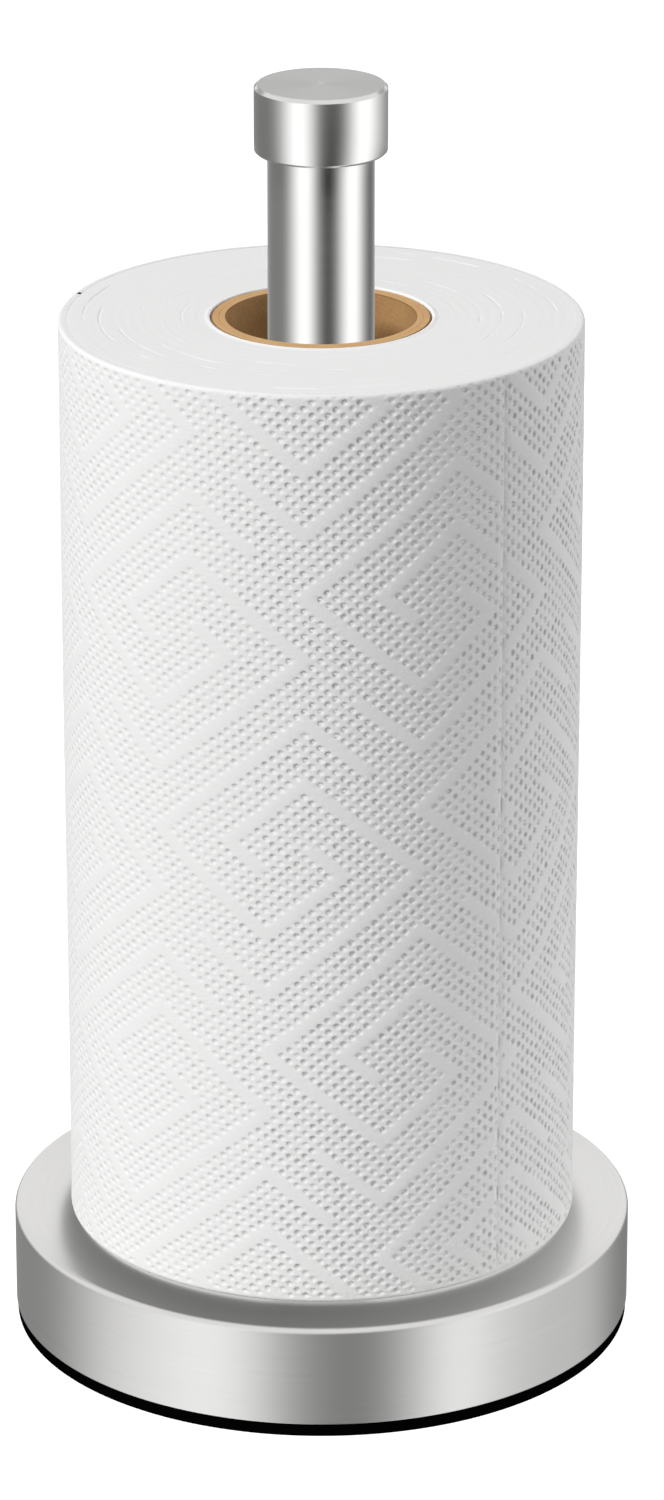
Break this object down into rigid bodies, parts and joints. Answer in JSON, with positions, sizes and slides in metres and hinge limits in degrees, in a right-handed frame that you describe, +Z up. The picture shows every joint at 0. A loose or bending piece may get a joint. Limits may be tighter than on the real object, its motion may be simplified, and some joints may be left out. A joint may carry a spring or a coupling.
{
  "type": "paper towel holder",
  "caption": "Upright countertop paper towel holder: round weighted steel base, tubular post and screw-on knob, with a paper roll that spins and lifts off.",
  "frame": {"origin": "centre of the base's underside, on the surface the holder stands on", "axes": "+Z up along the post; -Y is the front, and +X is to the right as seen from the front; the free edge of the last sheet is at the back left"},
  "size_m": [0.16, 0.16, 0.3285],
  "materials": {
    "brushed_stainless": "brushed",
    "weight_iron": "matte",
    "fastener_steel": "satin",
    "insert_aluminium": "satin",
    "black_plastic": "matte",
    "white_nylon": "matte",
    "black_rubber": "matte",
    "core_board": "matte",
    "towel_sheet": "matte",
    "towel_winding": "matte"
  },
  "bodies": {
    "stand": {"base_cover": "brushed_stainless", "base_weight": "weight_iron", "base_tray": "black_plastic", "tray_screws": "fastener_steel", "non_slip_pad": "black_rubber", "anchor_bolt": "fastener_steel", "flat_washer": "fastener_steel", "spring_washer": "fastener_steel", "post_gasket": "black_rubber", "post_tube": "brushed_stainless", "post_foot_insert": "insert_aluminium", "post_top_insert": "insert_aluminium", "knob_cap": "brushed_stainless", "knob_plug": "black_plastic", "knob_stud": "fastener_steel", "knob_washer": "white_nylon"},
    "roll_core": {"core_inner_ply": "core_board"},
    "towel_roll": {"core_outer_ply": "core_board", "paper_roll": "towel_winding", "outer_sheet": "towel_sheet"}
  },
  "joints": [
    {"name": "roll_lift", "type": "slide", "parent": "stand", "child": "roll_core", "axis": [0, 0, 1], "range_m": [0, 0.31]},
    {"name": "roll_spin", "type": "hinge", "parent": "roll_core", "child": "towel_roll", "pos_m": [0, 0, 0.15], "axis": [0, 0, 1], "continuous": true}
  ]
}
